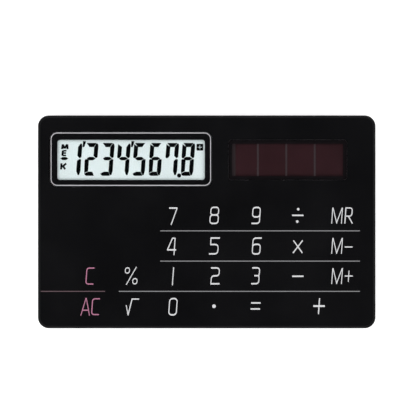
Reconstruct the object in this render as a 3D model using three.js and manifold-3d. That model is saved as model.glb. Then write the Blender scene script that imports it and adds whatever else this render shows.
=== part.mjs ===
// A card-size solar pocket calculator, modelled as the pieces it comes apart into on a bench.
//
// Frame: millimetres, +X along the card's long side, +Y towards its display edge, +Z out of its
// face. The origin is the middle of the rear face, so the card lies on Z = 0.
//
// The card is a stack. From the back: rear cover, circuit board with its dome sheet, display and
// solar cell, a side frame around them, and a steel front plate that carries the printed film.
// Each of the 23 keys is a keycap bonded to its own patch of the film, over one dome of the sheet.

import * as THREE from "three";
import { mergeVertices } from "three/addons/utils/BufferGeometryUtils.js";
import Module from "manifold-3d";

const wasm = await Module();
wasm.setup();

// ---------------------------------------------------------------- driving dimensions

const CARD = { width: 85.6, height: 54.0, corner: 2.75, thickness: 3.4 };

// The levels of the stack, from the rear face up.
const Z = {
  rear: 0,
  floor: 0.5, // inside face of the rear cover, and the seam in the card's edge
  lip: 1.1, // top of the rear cover's locating lip
  board: 1.2,
  boardTop: 1.7,
  display: 1.6, // under side of the display's rear polariser
  domeTop: 2.05,
  flange: 2.35,
  keycap: 2.6,
  plate: 2.65,
  plateTop: 3.05,
  film: 3.15,
  filmTop: 3.35,
};

const FRAME = {
  rim: 0.6, // width of its top edge
  ledge: 1.4, // width below the plate
  bevel: 0.35,
  barWidth: 0.8, // of the two bars across it
  barHeight: 0.8,
  crossBarY: 5.95,
  uprightBarX: 3.2,
};
const COVER = {
  bevel: 0.3,
  lipWidth: 0.7,
  ribWidth: 0.8,
  ribRight: 37.5,
  ribLefts: [-12.5, -12.5, -33.5, -33.5], // one rib under each row of keys
};
const FILM_GAP = 0.1; // between the film, plate or windows and what surrounds them
const TAPE_CUT = 0.1; // how far the film's adhesive stays back from each key's hole
const THROUGH = 0.1; // how far a cut or a join runs past the face it meets

const KEYS = {
  firstColumn: -29.7,
  columnPitch: 10.55,
  firstRow: 1.55,
  rowPitch: 7.67,
  holeWidth: 9.35,
  holeHeight: 6.55,
  corner: 1.2,
  gap: 0.15, // all round the film patch in its hole
  headInset: 0.7, // how far the keycap's head stands in from its film patch
  flangeOverhang: 0.3, // how far the flange reaches under the plate, all round
  nubRadius: 1.6,
};

const DOME = { radius: 2.6, crown: 1.0, film: 0.1, wall: 0.12 };
const SHEET = { left: -35.2, right: 38.4, bottom: -25.1, top: 4.6, stepX: -14.2, stepY: -9.95 };

// Rectangles are [left, bottom, right, top].
const DISPLAY = {
  window: [-39.85, 8.95, 1.35, 22.85],
  windowCorner: 1.85,
  opening: [-38.75, 9.75, 0.35, 21.65],
  frontGlass: [-38.5, 10.0, 0.1, 21.4],
  rearGlass: [-38.5, 7.8, 0.1, 21.4], // longer, for the contact ledge
  polariser: [-38.3, 10.2, -0.1, 21.2],
  visible: [-37.95, 10.65, -0.4, 20.85],
  pad: [-36, 10.5, -2, 21],
  connector: { left: -37.0, length: 35.6, thickness: 0.1 },
  glass: 0.5,
  polariserThickness: 0.15,
};

const SOLAR = {
  window: [5.5, 10.6, 35.6, 20.8],
  windowCorner: 0.8,
  opening: [6.2, 11.3, 34.9, 20.1],
  panel: [4.9, 10.3, 36.1, 21.1],
  top: 2.55,
  thickness: 0.7,
  lead: { width: 1.4, length: 3.4, thickness: 0.12, y: 10.2, inset: 2.2 },
};

const BOARD = { halfWidth: 41.1, halfHeight: 25.3, stepX: 2.4, stepY: 6.9, bossClearance: 0.35 };
const CHIP = { x: -30.5, y: -2.2, radius: 4.2, height: 0.75 };

const SCREW = {
  x: 40.2,
  y: 24.4,
  boss: 1.35,
  head: 1.2,
  headDepth: 0.5,
  shank: 0.65,
  tip: 2.2,
  taper: 0.3,
  clearance: 0.1,
  slotLength: 1.5,
  slotWidth: 0.3,
  slotDepth: 0.25,
};

// Which keys the grid holds: [name, column, row], columns from the left and rows from the top.
const KEY_GRID = [
  ["key_7", 2, 0], ["key_8", 3, 0], ["key_9", 4, 0], ["key_divide", 5, 0], ["key_memory_recall", 6, 0],
  ["key_4", 2, 1], ["key_5", 3, 1], ["key_6", 4, 1], ["key_multiply", 5, 1], ["key_memory_minus", 6, 1],
  ["key_clear", 0, 2], ["key_percent", 1, 2],
  ["key_1", 2, 2], ["key_2", 3, 2], ["key_3", 4, 2], ["key_minus", 5, 2], ["key_memory_plus", 6, 2],
  ["key_all_clear", 0, 3], ["key_square_root", 1, 3],
  ["key_0", 2, 3], ["key_point", 3, 3], ["key_equals", 4, 3],
];
const WIDE_KEY = ["key_plus", 5.5, 3]; // spans two columns

// ---------------------------------------------------------------- materials

const finish = (color, roughness, metalness = 0) =>
  new THREE.MeshStandardMaterial({ color, roughness, metalness });

const MATERIAL = {
  case: finish(0x121214, 0.45),
  film: finish(0x111113, 0.25),
  keycap: finish(0x1b1b1d, 0.5),
  steel: finish(0xa9abad, 0.35, 1),
  glass: finish(0xcfe0dc, 0.05),
  window: finish(0xe4ecea, 0.08),
  polariser: finish(0x9aa79f, 0.2),
  adhesive: finish(0xd8d2c0, 0.6),
  foam: finish(0x2a2a2c, 0.95),
  board: finish(0x1f6b3a, 0.5),
  solar: finish(0x2d1c1f, 0.15),
  epoxy: finish(0x0c0c0d, 0.35),
  component: finish(0x8a6a3c, 0.5),
  copper: finish(0xb87346, 0.35, 1),
  foil: finish(0xc98b3a, 0.4),
  domes: finish(0xd7dbd8, 0.3),
};

// ---------------------------------------------------------------- shapes and solids

const roundedShape = ([left, bottom, right, top], radius) => {
  const shape = new THREE.Shape();
  shape.absarc(right - radius, bottom + radius, radius, -Math.PI / 2, 0);
  shape.absarc(right - radius, top - radius, radius, 0, Math.PI / 2);
  shape.absarc(left + radius, top - radius, radius, Math.PI / 2, Math.PI);
  shape.absarc(left + radius, bottom + radius, radius, Math.PI, (3 * Math.PI) / 2);
  shape.closePath();
  return shape;
};

const grown = ([left, bottom, right, top], by) => [left - by, bottom - by, right + by, top + by];

const CARD_EDGES = [-CARD.width / 2, -CARD.height / 2, CARD.width / 2, CARD.height / 2];

// The card's outline, moved in by inset all round.
const cardShape = (inset) => roundedShape(grown(CARD_EDGES, -inset), CARD.corner - inset);

const solidOf = (geometry) => {
  const bare = geometry.clone();
  bare.deleteAttribute("normal");
  bare.deleteAttribute("uv");
  const merged = mergeVertices(bare, 1e-4);
  return new wasm.Manifold(
    new wasm.Mesh({
      numProp: 3,
      vertProperties: merged.attributes.position.array,
      triVerts: new Uint32Array(merged.index.array),
    }),
  );
};

const slab = (shape, bottom, top, curveSegments = 3) => {
  const geometry = new THREE.ExtrudeGeometry(shape, {
    depth: top - bottom,
    bevelEnabled: false,
    curveSegments,
  });
  return solidOf(geometry.translate(0, 0, bottom));
};

// A slab whose edges are rounded over at both ends, inside the shape's outline.
const bevelledSlab = (shape, bottom, top, bevel) => {
  const geometry = new THREE.ExtrudeGeometry(shape, {
    depth: top - bottom - 2 * bevel,
    bevelThickness: bevel,
    bevelSize: bevel,
    bevelOffset: -bevel,
    bevelSegments: 2,
    curveSegments: 6,
  });
  return solidOf(geometry.translate(0, 0, bottom + bevel));
};

const block = ([left, bottom, right, top], low, high) => {
  const geometry = new THREE.BoxGeometry(right - left, top - bottom, high - low);
  return solidOf(geometry.translate((left + right) / 2, (bottom + top) / 2, (low + high) / 2));
};

const roundedBlock = (rectangle, radius, low, high, curveSegments = 4) =>
  slab(roundedShape(rectangle, radius), low, high, curveSegments);

// A layer wider than the card, for taking a slice of something.
const layer = (low, high) => block(grown(CARD_EDGES, 5), low, high);

// A round solid on a vertical axis, from its profile of [radius, z] points.
const turned = (profile, x, y, segments = 12) => {
  const points = profile.map(([radius, z]) => new THREE.Vector2(radius, z));
  const geometry = new THREE.LatheGeometry(points, segments);
  return solidOf(geometry.rotateX(Math.PI / 2).translate(x, y, 0));
};

const drum = (radius, low, high, x, y, segments = 12) =>
  turned([[0, low], [radius, low], [radius, high], [0, high]], x, y, segments);

const joined = (solids) => solids.reduce((all, solid) => all.add(solid));
const without = (solid, cuts) => cuts.reduce((rest, cut) => rest.subtract(cut), solid);

const calculator = new THREE.Group();

const addPiece = (name, material, solid) => {
  const { vertProperties, triVerts } = solid.getMesh();
  const geometry = new THREE.BufferGeometry();
  geometry.setAttribute("position", new THREE.BufferAttribute(vertProperties, 3));
  geometry.setIndex(new THREE.BufferAttribute(triVerts, 1));
  geometry.computeVertexNormals();
  const mesh = new THREE.Mesh(geometry, material);
  mesh.name = name;
  calculator.add(mesh);
};

// ---------------------------------------------------------------- the key grid

const keys = [...KEY_GRID, WIDE_KEY].map(([name, column, row]) => ({
  name,
  x: KEYS.firstColumn + column * KEYS.columnPitch,
  y: KEYS.firstRow - row * KEYS.rowPitch,
  width: KEYS.holeWidth + (name === WIDE_KEY[0] ? KEYS.columnPitch : 0),
  height: KEYS.holeHeight,
}));

// A key's rectangle, grown all round by the given amount from its hole in the film.
const keyRectangle = ({ x, y, width, height }, by) =>
  grown([x - width / 2, y - height / 2, x + width / 2, y + height / 2], by);

const corners = [1, -1].flatMap((sx) => [1, -1].map((sy) => [sx * SCREW.x, sy * SCREW.y]));

// ---------------------------------------------------------------- casing

function makeRearCover() {
  const shell = bevelledSlab(cardShape(0), Z.rear, 2 * Z.floor, COVER.bevel);
  const floor = shell.intersect(layer(Z.rear, Z.floor));
  const lipOutside = FRAME.ledge + FILM_GAP;
  const lip = slab(cardShape(lipOutside), Z.floor - THROUGH, Z.lip)
    .subtract(slab(cardShape(lipOutside + COVER.lipWidth), Z.rear, Z.lip + THROUGH));
  const bossRoom = corners.map(([x, y]) =>
    drum(SCREW.boss + 2 * SCREW.clearance, Z.floor, Z.lip + THROUGH, x, y, 16));
  const ribs = COVER.ribLefts.map((left, row) => {
    const y = KEYS.firstRow - row * KEYS.rowPitch;
    const edges = [left, y - COVER.ribWidth / 2, COVER.ribRight, y + COVER.ribWidth / 2];
    return block(edges, Z.floor - THROUGH, Z.board);
  });
  const hole = SCREW.shank + SCREW.clearance;
  const sink = SCREW.head + SCREW.clearance;
  const screwHoles = corners.map(([x, y]) => turned(
    [[0, -THROUGH], [sink, -THROUGH], [sink, Z.rear], [hole, Z.floor], [hole, Z.lip], [0, Z.lip]],
    x, y, 16,
  ));
  const ribbed = joined([floor, without(lip, bossRoom), ...ribs]);
  addPiece("rear_cover", MATERIAL.case, without(ribbed, screwHoles));
}

function makeSideFrame() {
  const outside = bevelledSlab(cardShape(0), Z.rear, CARD.thickness, FRAME.bevel)
    .intersect(layer(Z.floor, CARD.thickness));
  const well = slab(cardShape(FRAME.ledge), Z.floor - THROUGH, Z.plate + THROUGH, 6);
  const recess = slab(cardShape(FRAME.rim), Z.plate, CARD.thickness + THROUGH, 6);
  const bosses = corners.map(([x, y]) => drum(SCREW.boss, Z.lip - 0.4, Z.plate, x, y, 16));
  const pilotHoles = corners.map(([x, y]) =>
    drum(SCREW.shank + SCREW.clearance, Z.rear, SCREW.tip + 0.15, x, y, 16));
  const [left, , right, top] = grown(CARD_EDGES, THROUGH - FRAME.ledge);
  const barLow = Z.plate - FRAME.barHeight;
  const { crossBarY, uprightBarX, barWidth } = FRAME;
  const bars = [
    block([left, crossBarY, right, crossBarY + barWidth], barLow, Z.plate),
    block([uprightBarX, crossBarY, uprightBarX + barWidth, top], barLow, Z.plate),
  ];
  const ring = without(outside, [well, recess]);
  addPiece("side_frame", MATERIAL.case, without(joined([ring, ...bosses, ...bars]), pilotHoles));
}

function makeFrontPlate() {
  const [low, high] = [Z.plate - THROUGH, Z.plateTop + THROUGH];
  const sheet = slab(cardShape(FRAME.rim + FILM_GAP), Z.plate, Z.plateTop, 6);
  const openings = [DISPLAY, SOLAR].map(({ opening }) => block(opening, low, high));
  const keyHoles = keys.map((key) => roundedBlock(keyRectangle(key, 0), KEYS.corner, low, high, 1));
  addPiece("front_plate", MATERIAL.steel, without(sheet, [...openings, ...keyHoles]));
}

function makeFaceFilm() {
  const [low, high] = [Z.plateTop - THROUGH, Z.filmTop + THROUGH];
  const outline = cardShape(FRAME.rim + FILM_GAP);
  const windowHoles = [DISPLAY, SOLAR].map(({ window, windowCorner }) =>
    roundedBlock(grown(window, FILM_GAP), windowCorner + FILM_GAP, low, high));

  const tape = slab(outline, Z.plateTop, Z.film, 6);
  const tapeCuts = keys.map((key) => block(keyRectangle(key, TAPE_CUT), low, high));
  addPiece("film_adhesive", MATERIAL.adhesive, without(tape, [...tapeCuts, ...windowHoles]));

  const film = slab(outline, Z.film, Z.filmTop, 6);
  const keyHoles = keys.map((key) => roundedBlock(keyRectangle(key, 0), KEYS.corner, low, high, 2));
  addPiece("face_film", MATERIAL.film, without(film, [...keyHoles, ...windowHoles]));
}

function makeWindows() {
  addPiece("display_window", MATERIAL.window,
    roundedBlock(DISPLAY.window, DISPLAY.windowCorner, Z.plateTop, Z.filmTop));
  addPiece("solar_window", MATERIAL.window,
    roundedBlock(SOLAR.window, SOLAR.windowCorner, Z.plateTop, Z.filmTop));
}

function makeScrews() {
  corners.forEach(([x, y], index) => {
    const body = turned(
      [
        [0, Z.rear], [SCREW.head, Z.rear], [SCREW.shank, SCREW.headDepth],
        [SCREW.shank, SCREW.tip - SCREW.taper], [SCREW.shank / 2, SCREW.tip], [0, SCREW.tip],
      ],
      x, y, 12,
    );
    const half = SCREW.slotLength / 2;
    const thin = SCREW.slotWidth / 2;
    const cross = [
      block([x - half, y - thin, x + half, y + thin], -THROUGH, SCREW.slotDepth),
      block([x - thin, y - half, x + thin, y + half], -THROUGH, SCREW.slotDepth),
    ];
    addPiece(`rear_screw_${index + 1}`, MATERIAL.steel, without(body, cross));
  });
}

// ---------------------------------------------------------------- keyboard

function makeKeys() {
  for (const key of keys) {
    const patch = roundedBlock(keyRectangle(key, -KEYS.gap), KEYS.corner, Z.film, Z.filmTop, 2);
    const headEdges = keyRectangle(key, -KEYS.gap - KEYS.headInset);
    const head = block(headEdges, Z.keycap - THROUGH, Z.film);
    const flange = block(keyRectangle(key, KEYS.flangeOverhang), Z.flange, Z.keycap);
    const nub = drum(KEYS.nubRadius, Z.domeTop, Z.flange + THROUGH, key.x, key.y, 8);
    addPiece(key.name, MATERIAL.keycap, joined([patch, head, flange, nub]));
  }
}

function makeDomeSheet() {
  const { left, right, bottom, top, stepX, stepY } = SHEET;
  const [low, high] = [Z.boardTop, Z.boardTop + DOME.film];
  const sheet = block([stepX, bottom, right, top], low, high)
    .add(block([left, bottom, stepX + 1, stepY], low, high));

  // The outside of a dome or, thinner and lower, the hollow under it.
  const dome = (key, thinner, lower) => {
    const wide = DOME.radius - thinner;
    const narrow = DOME.crown - thinner / 2;
    const base = high - lower;
    const crown = Z.domeTop - lower;
    const foot = base - THROUGH / 2;
    return turned([[0, foot], [wide, foot], [wide, base], [narrow, crown], [0, crown]], key.x, key.y, 8);
  };
  const shells = keys.map((key) => dome(key, 0, 0));
  const hollows = keys.map((key) => dome(key, DOME.wall, DOME.film));
  addPiece("dome_sheet", MATERIAL.domes, without(joined([sheet, ...shells]), hollows));
}

// ---------------------------------------------------------------- electronics

function makeCircuitBoard() {
  const { halfWidth, halfHeight, stepX, stepY, bossClearance } = BOARD;
  const [low, high] = [Z.board - THROUGH, Z.boardTop + THROUGH];
  const whole = block([-halfWidth, -halfHeight, halfWidth, halfHeight], Z.board, Z.boardTop);
  const [left, , , top] = grown(CARD_EDGES, 1);
  const displayRoom = block([left, stepY, stepX, top], low, high);
  const bossRoom = corners.map(([x, y]) =>
    block(grown([x, y, x, y], SCREW.boss + bossClearance), low, high));
  addPiece("circuit_board", MATERIAL.board, without(whole, [displayRoom, ...bossRoom]));
}

// The chip's drop of epoxy: a low dome with a short upright edge.
function makeChip() {
  const { x, y, radius, height } = CHIP;
  const edge = 0.1;
  const steps = 4;
  const crown = Array.from({ length: steps + 1 }, (_, step) => {
    const angle = (step / steps) * (Math.PI / 2);
    const rise = edge + (height - edge) * Math.sin(angle);
    return [radius * Math.cos(angle), Z.boardTop + rise];
  });
  crown[steps][0] = 0; // the last point lies on the axis
  addPiece("chip_epoxy_cap", MATERIAL.epoxy,
    turned([[0, Z.boardTop], [radius, Z.boardTop], ...crown], x, y, 20));
}

function makeChipParts() {
  const parts = [
    ["storage_capacitor", MATERIAL.component, [-22.6, 0.9, -19.1, 3.1], 0.85],
    ["filter_capacitor", MATERIAL.component, [-21.8, -3.4, -19.8, -2.1], 0.7],
    ["clamp_diode", MATERIAL.epoxy, [-21.9, -6.6, -19.6, -5.2], 0.75],
    ["pull_up_resistor", MATERIAL.epoxy, [-18.0, -6.7, -16.4, -5.9], 0.45],
  ];
  for (const [name, material, footprint, height] of parts) {
    addPiece(name, material, block(footprint, Z.boardTop, Z.boardTop + height));
  }
}

// The foil that joins the display's contact ledge to the board, as one bent strip.
function makeConnector(ledge) {
  const { left, length, thickness } = DISPLAY.connector;
  const rise = ledge - Z.boardTop;
  const profile = new THREE.Shape([
    [4.9, 0], [6.8, 0], [7.7, rise], [9.4, rise],
    [9.4, rise + thickness], [7.65, rise + thickness], [6.75, thickness], [4.9, thickness],
  ].map(([y, z]) => new THREE.Vector2(y, z)));
  const strip = new THREE.ExtrudeGeometry(profile, { depth: length, bevelEnabled: false });
  strip.rotateX(Math.PI / 2).rotateZ(Math.PI / 2);
  addPiece("display_connector", MATERIAL.foil, solidOf(strip.translate(left, 0, Z.boardTop)));
}

function makeDisplay() {
  const { glass, polariserThickness, polariser } = DISPLAY;
  const rearGlassLow = Z.display + polariserThickness;
  const liquid = rearGlassLow + glass;
  const frontGlassTop = liquid + glass;
  const stackTop = frontGlassTop + polariserThickness;
  addPiece("display_rear_polariser", MATERIAL.polariser, block(polariser, Z.display, rearGlassLow));
  addPiece("display_rear_glass", MATERIAL.glass, block(DISPLAY.rearGlass, rearGlassLow, liquid));
  addPiece("display_front_glass", MATERIAL.glass, block(DISPLAY.frontGlass, liquid, frontGlassTop));
  addPiece("display_front_polariser", MATERIAL.polariser, block(polariser, frontGlassTop, stackTop));
  addPiece("display_foam_pad", MATERIAL.foam, block(DISPLAY.pad, Z.floor, Z.display));
  const clear = block(grown(DISPLAY.visible, 0.1), stackTop - THROUGH, Z.plateTop + THROUGH);
  addPiece("display_gasket", MATERIAL.foam, block(polariser, stackTop, Z.plateTop).subtract(clear));
  makeConnector(liquid);
}

function makeSolarCell() {
  const { panel, opening, top, thickness, lead } = SOLAR;
  addPiece("solar_cell", MATERIAL.solar, block(panel, top - thickness, top));
  const clear = block(grown(opening, -0.1), top - THROUGH, Z.plate + THROUGH);
  addPiece("solar_gasket", MATERIAL.foam, block(panel, top, Z.plate).subtract(clear));
  const leadX = [
    ["solar_lead_positive", panel[0] + lead.inset],
    ["solar_lead_negative", panel[2] - lead.inset],
  ];
  for (const [name, x] of leadX) {
    const bottom = lead.y - lead.length / 2;
    const edges = [x - lead.width / 2, bottom, x + lead.width / 2, bottom + lead.length];
    addPiece(name, MATERIAL.copper, block(edges, Z.boardTop, Z.boardTop + lead.thickness));
  }
}

makeRearCover();
makeSideFrame();
makeFrontPlate();
makeFaceFilm();
makeWindows();
makeScrews();
makeKeys();
makeDomeSheet();
makeCircuitBoard();
makeChip();
makeChipParts();
makeDisplay();
makeSolarCell();

export default calculator;
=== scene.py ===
"""The looks of a card-size solar calculator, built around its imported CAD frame.

Everything is in metres in the frame's own axes: +X along the card, +Y towards the display, +Z out of
its face. MM turns the millimetres that the drawing uses into metres.
"""

import math

import bmesh
import bpy
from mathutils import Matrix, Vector


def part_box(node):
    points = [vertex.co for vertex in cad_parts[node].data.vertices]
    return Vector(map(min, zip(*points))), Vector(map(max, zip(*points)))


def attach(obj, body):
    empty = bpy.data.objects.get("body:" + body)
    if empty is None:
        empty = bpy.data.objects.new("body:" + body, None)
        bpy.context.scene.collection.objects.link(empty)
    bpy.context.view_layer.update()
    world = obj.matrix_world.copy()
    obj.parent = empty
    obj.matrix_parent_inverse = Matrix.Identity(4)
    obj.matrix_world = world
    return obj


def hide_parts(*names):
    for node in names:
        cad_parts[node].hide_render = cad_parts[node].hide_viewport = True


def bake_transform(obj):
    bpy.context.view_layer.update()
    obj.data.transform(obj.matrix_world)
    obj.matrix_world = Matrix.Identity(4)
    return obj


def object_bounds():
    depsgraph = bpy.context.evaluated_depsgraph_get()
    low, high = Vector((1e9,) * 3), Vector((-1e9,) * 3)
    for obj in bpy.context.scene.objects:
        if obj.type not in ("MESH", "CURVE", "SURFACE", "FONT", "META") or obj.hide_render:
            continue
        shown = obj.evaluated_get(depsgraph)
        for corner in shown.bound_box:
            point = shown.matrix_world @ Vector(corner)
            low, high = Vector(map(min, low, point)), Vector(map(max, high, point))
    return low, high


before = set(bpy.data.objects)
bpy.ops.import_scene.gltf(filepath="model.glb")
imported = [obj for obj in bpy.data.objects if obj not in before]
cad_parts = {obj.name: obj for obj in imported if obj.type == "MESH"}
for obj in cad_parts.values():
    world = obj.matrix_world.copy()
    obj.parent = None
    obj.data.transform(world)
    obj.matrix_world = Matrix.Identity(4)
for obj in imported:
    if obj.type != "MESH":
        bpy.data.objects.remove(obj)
CAD_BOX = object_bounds()

MM = 0.001

# ---------------------------------------------------------------- places taken from the frame

CASE_LOW, CASE_HIGH = CAD_BOX
CARD = (CASE_LOW.x, CASE_LOW.y, CASE_HIGH.x, CASE_HIGH.y)
CARD_CORNER = 2.75 * MM
FILM_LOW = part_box("face_film")[0].z
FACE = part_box("face_film")[1].z
PLATE_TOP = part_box("front_plate")[1].z
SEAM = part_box("side_frame")[0].z
LIP_TOP = 1.1 * MM

KEY_NODES = [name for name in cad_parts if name.startswith("key_")]
KEY_OVERHANG = 0.3 * MM  # each keycap's flange is this much larger all round than its hole
KEY_CORNER = 1.2 * MM
FLEX_WIDTH = 0.85 * MM  # the band of film that bends round a pressed key
HEAD_CORNER = 0.5 * MM  # of a keycap's head, inside that band
DISPLAY_CORNER = 1.85 * MM
SOLAR_CORNER = 0.8 * MM

# ---------------------------------------------------------------- outlines


def rectangle(node, grow=0.0):
    """A CAD node's outline seen from above as (left, bottom, right, top), grown all round."""
    low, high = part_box(node)
    return low.x - grow, low.y - grow, high.x + grow, high.y + grow


def grown(rect, by):
    return rect[0] - by, rect[1] - by, rect[2] + by, rect[3] + by


def millimetres(*numbers):
    return tuple(number * MM for number in numbers)


def rounded(rect, radius, steps=8):
    """Points round a rectangle with arcs for corners, counterclockwise from the lower right."""
    left, bottom, right, top = rect
    centres = [
        (right - radius, bottom + radius, -90),
        (right - radius, top - radius, 0),
        (left + radius, top - radius, 90),
        (left + radius, bottom + radius, 180),
    ]
    points = []
    for x, y, start in centres:
        for step in range(steps + 1):
            angle = math.radians(start + 90 * step / steps)
            points.append((x + radius * math.cos(angle), y + radius * math.sin(angle)))
    return points


def circle(x, y, radius, steps=32):
    angles = [math.tau * step / steps for step in range(steps)]
    return [(x + radius * math.cos(a), y + radius * math.sin(a)) for a in angles]


def at_height(points, z):
    return [(x, y, z) for x, y in points]


def arc(centre_inset, centre_z, radius, start, end, steps=5):
    """Profile points (inset, z) on an arc, angles in degrees with 180 pointing out of the card."""
    angles = [math.radians(start + (end - start) * step / steps) for step in range(steps + 1)]
    return [
        (centre_inset + radius * math.cos(a), centre_z + radius * math.sin(a)) for a in angles
    ]


# ---------------------------------------------------------------- meshes


def link(name, bm, material, sharp_angle=40):
    """Turns a bmesh into a scene object, smooth except at sharp edges and on its flat caps."""
    bmesh.ops.remove_doubles(bm, verts=bm.verts, dist=1e-8)
    bmesh.ops.recalc_face_normals(bm, faces=bm.faces)
    for face in bm.faces:
        face.smooth = len(face.verts) == 4 and abs(face.normal.z) < 0.999
    mesh = bpy.data.meshes.new(name)
    bm.to_mesh(mesh)
    bm.free()
    mesh.set_sharp_from_angle(angle=math.radians(sharp_angle))
    mesh.materials.append(material)
    piece = bpy.data.objects.new(name, mesh)
    bpy.context.scene.collection.objects.link(piece)
    return piece


def add_loop(bm, points):
    """Vertices and edges of one closed outline."""
    verts = [bm.verts.new(point) for point in points]
    for start, end in zip(verts, verts[1:] + verts[:1]):
        bm.edges.new((start, end))
    return verts


def bridge(bm, lower, upper):
    """Faces between two outlines with the same number of points."""
    count = len(lower)
    for i in range(count):
        j = (i + 1) % count
        bm.faces.new((lower[i], lower[j], upper[j], upper[i]))


def add_loft(bm, outlines, capped=True, closed=False):
    """A skin through a row of 3D outlines, capped at its ends, open or closed on itself."""
    rows = [[bm.verts.new(point) for point in outline] for outline in outlines]
    for lower, upper in zip(rows, rows[1:]):
        bridge(bm, lower, upper)
    if closed:
        bridge(bm, rows[-1], rows[0])
    elif capped:
        bm.faces.new(rows[0])
        bm.faces.new(rows[-1])


def add_fill(bm, outer, holes, z):
    """Flat faces at one height between an outline and the holes inside it."""
    flat = bmesh.new()
    for outline in [outer, *holes]:
        add_loop(flat, at_height(outline, z))
    filled = bmesh.ops.triangle_fill(flat, use_beauty=True, edges=flat.edges[:])
    for part in filled["geom"]:
        if isinstance(part, bmesh.types.BMFace):
            bm.faces.new([bm.verts.new(vert.co) for vert in part.verts])
    flat.free()


def add_flat(bm, outer, holes, low, high):
    """A flat sheet between two heights, with holes through it."""
    add_fill(bm, outer, holes, low)
    add_fill(bm, outer, holes, high)
    for outline in [outer, *holes]:
        add_loft(bm, [at_height(outline, low), at_height(outline, high)], capped=False)


def sheet_with_holes(name, outer, holes, low, high, material):
    bm = bmesh.new()
    add_flat(bm, outer, holes, low, high)
    return link(name, bm, material)


def bevelled_outlines(rect, radius, low, high, bevel):
    """Outlines of a rounded slab whose top and bottom edges are rounded over."""
    half_turn = arc(bevel, low + bevel, bevel, 270, 180) + arc(bevel, high - bevel, bevel, 180, 90)
    return [
        at_height(rounded(grown(rect, -inset), radius - inset), z) for inset, z in half_turn
    ]


def bevelled_slab(name, rect, radius, low, high, bevel, material):
    bm = bmesh.new()
    add_loft(bm, bevelled_outlines(rect, radius, low, high, bevel))
    return link(name, bm, material)


# ---------------------------------------------------------------- material building blocks


def new_material(name):
    """A material with its node tree emptied down to the output."""
    material = bpy.data.materials.new(name)
    material.use_nodes = True
    nodes = material.node_tree.nodes
    for node in list(nodes):
        if node.type != "OUTPUT_MATERIAL":
            nodes.remove(node)
    return material


def node(tree, kind, **values):
    """Adds a node. Keyword names are its inputs, with underscores for spaces."""
    made = tree.nodes.new(kind)
    for key, value in values.items():
        made.inputs[key.replace("_", " ")].default_value = value
    return made


def object_noise(tree, scale, detail=3.0, roughness=0.5, stretch=(1, 1, 1)):
    """Noise fixed to the piece, at so many waves per metre."""
    coordinates = tree.nodes.new("ShaderNodeTexCoord")
    mapping = node(tree, "ShaderNodeMapping", Scale=stretch)
    noise = node(tree, "ShaderNodeTexNoise", Scale=scale, Detail=detail, Roughness=roughness)
    tree.links.new(coordinates.outputs["Object"], mapping.inputs["Vector"])
    tree.links.new(mapping.outputs["Vector"], noise.inputs["Vector"])
    return noise.outputs["Fac"]


def shades(tree, factor, first, last, start=0.3, end=0.7):
    """The colours between two, as a factor goes from start to end."""
    made = tree.nodes.new("ShaderNodeValToRGB")
    low, high = made.color_ramp.elements
    low.position, low.color = start, (*first, 1)
    high.position, high.color = end, (*last, 1)
    tree.links.new(factor, made.inputs["Fac"])
    return made.outputs["Color"]


def spread(tree, factor, first, last, start=0.3, end=0.7):
    """The values between two, as a factor goes from start to end."""
    limits = {"From Min": start, "From Max": end, "To Min": first, "To Max": last}
    made = tree.nodes.new("ShaderNodeMapRange")
    for key, value in limits.items():
        made.inputs[key].default_value = value
    tree.links.new(factor, made.inputs["Value"])
    return made.outputs["Result"]


def bump(tree, height, distance, strength=1.0):
    made = node(tree, "ShaderNodeBump", Strength=strength, Distance=distance)
    tree.links.new(height, made.inputs["Height"])
    return made.outputs["Normal"]


def principled(tree, **values):
    shader = node(tree, "ShaderNodeBsdfPrincipled", **values)
    output = next(item for item in tree.nodes if item.type == "OUTPUT_MATERIAL")
    tree.links.new(shader.outputs["BSDF"], output.inputs["Surface"])
    return shader


def grained(name, dark, light, scale, roughness, depth, metallic=0.0, stretch=(1, 1, 1)):
    """A surface whose colour, gloss and relief vary with one fine grain."""
    material = new_material(name)
    tree = material.node_tree
    grain = object_noise(tree, scale, stretch=stretch)
    shader = principled(tree, Metallic=metallic)
    tree.links.new(shades(tree, grain, dark, light), shader.inputs["Base Color"])
    tree.links.new(spread(tree, grain, *roughness), shader.inputs["Roughness"])
    tree.links.new(bump(tree, grain, depth), shader.inputs["Normal"])
    return material


def tint(colour, factor):
    return tuple(channel * factor for channel in colour)


# ---------------------------------------------------------------- materials of the outside


def film_black():
    """Polyester film printed black on its back: satin, with a faint orange peel and smudges."""
    material = new_material("film_black")
    tree = material.node_tree
    peel = object_noise(tree, 5200, detail=2)
    smudge = object_noise(tree, 55, detail=5, roughness=0.6)
    shader = principled(tree, Specular_IOR_Level=0.4)
    colour = shades(tree, smudge, (0.0017, 0.0017, 0.0021), (0.0022, 0.0022, 0.0027))
    tree.links.new(colour, shader.inputs["Base Color"])
    tree.links.new(spread(tree, smudge, 0.17, 0.22), shader.inputs["Roughness"])
    tree.links.new(bump(tree, peel, 0.002 * MM, 0.5), shader.inputs["Normal"])
    return material


def dull(name, dark, light, scale):
    """A surface seen through a clear sheet in contact with it, which has no gloss of its own."""
    material = new_material(name)
    tree = material.node_tree
    shader = principled(tree, Specular_IOR_Level=0.0, Roughness=0.8)
    colour = shades(tree, object_noise(tree, scale), dark, light)
    tree.links.new(colour, shader.inputs["Base Color"])
    return material


def border_black(name, strength=1.0):
    """The black that frames a window, printed on its back."""
    return dull(
        name, tint((0.0034, 0.0034, 0.0038), strength), tint((0.0042, 0.0042, 0.0047), strength), 2600
    )


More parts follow.
